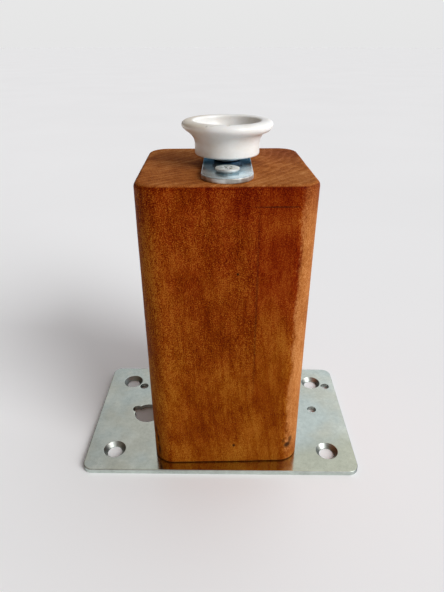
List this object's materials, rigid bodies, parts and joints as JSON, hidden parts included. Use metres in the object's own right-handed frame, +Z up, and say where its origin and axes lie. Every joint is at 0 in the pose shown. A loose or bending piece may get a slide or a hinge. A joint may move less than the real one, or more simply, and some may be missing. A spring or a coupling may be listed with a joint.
{
  "type": "porcelain insulator post",
  "caption": "White flared porcelain cup on a screw and flat strap, on top of a square stained hardwood post with a zinc-plated mounting plate.",
  "frame": {"origin": "middle of the mounting plate's underside, which is the bottom centre of the whole object", "axes": "+Z up the post to the cup, +X along the plate's long side with the wire hole at -X, +Y to the back"},
  "size_m": [0.1334, 0.081, 0.1563],
  "materials": {
    "zinc_plate": "satin",
    "stained_wood": "satin",
    "zinc_strap": "polished",
    "zinc_screw": "gloss",
    "zinc_nut": "gloss",
    "spring_steel": "satin",
    "porcelain": "gloss",
    "red_fibre": "matte"
  },
  "bodies": {
    "post_body": {"base_plate": "zinc_plate", "post": "stained_wood", "plate_screw_front_left": "zinc_screw", "plate_screw_front_right": "zinc_screw", "plate_screw_back_left": "zinc_screw", "plate_screw_back_right": "zinc_screw", "strap": "zinc_strap", "strap_screw_front": "zinc_screw", "strap_screw_rear": "zinc_screw", "weld_nut": "zinc_nut"},
    "cup_carriage": {"cup": "porcelain", "lower_fibre_washer": "red_fibre", "upper_fibre_washer": "red_fibre"},
    "screw_group": {"cup_screw": "zinc_screw", "round_nut": "zinc_nut", "steel_washer": "zinc_nut", "spring_washer": "spring_steel"}
  },
  "joints": [
    {"name": "cup_rise", "type": "slide", "parent": "post_body", "child": "cup_carriage", "axis": [0, 0, 1], "range_m": [0, 0.005]},
    {"name": "screw_turn", "type": "hinge", "parent": "cup_carriage", "child": "screw_group", "pos_m": [0.0026, -0.0006, 0.1405], "axis": [0, 0, 1], "range_deg": [0, 1800]}
  ],
  "couplings": [
    {"joint": "screw_turn", "follows": "cup_rise", "rad_per_m": 6283.2}
  ]
}
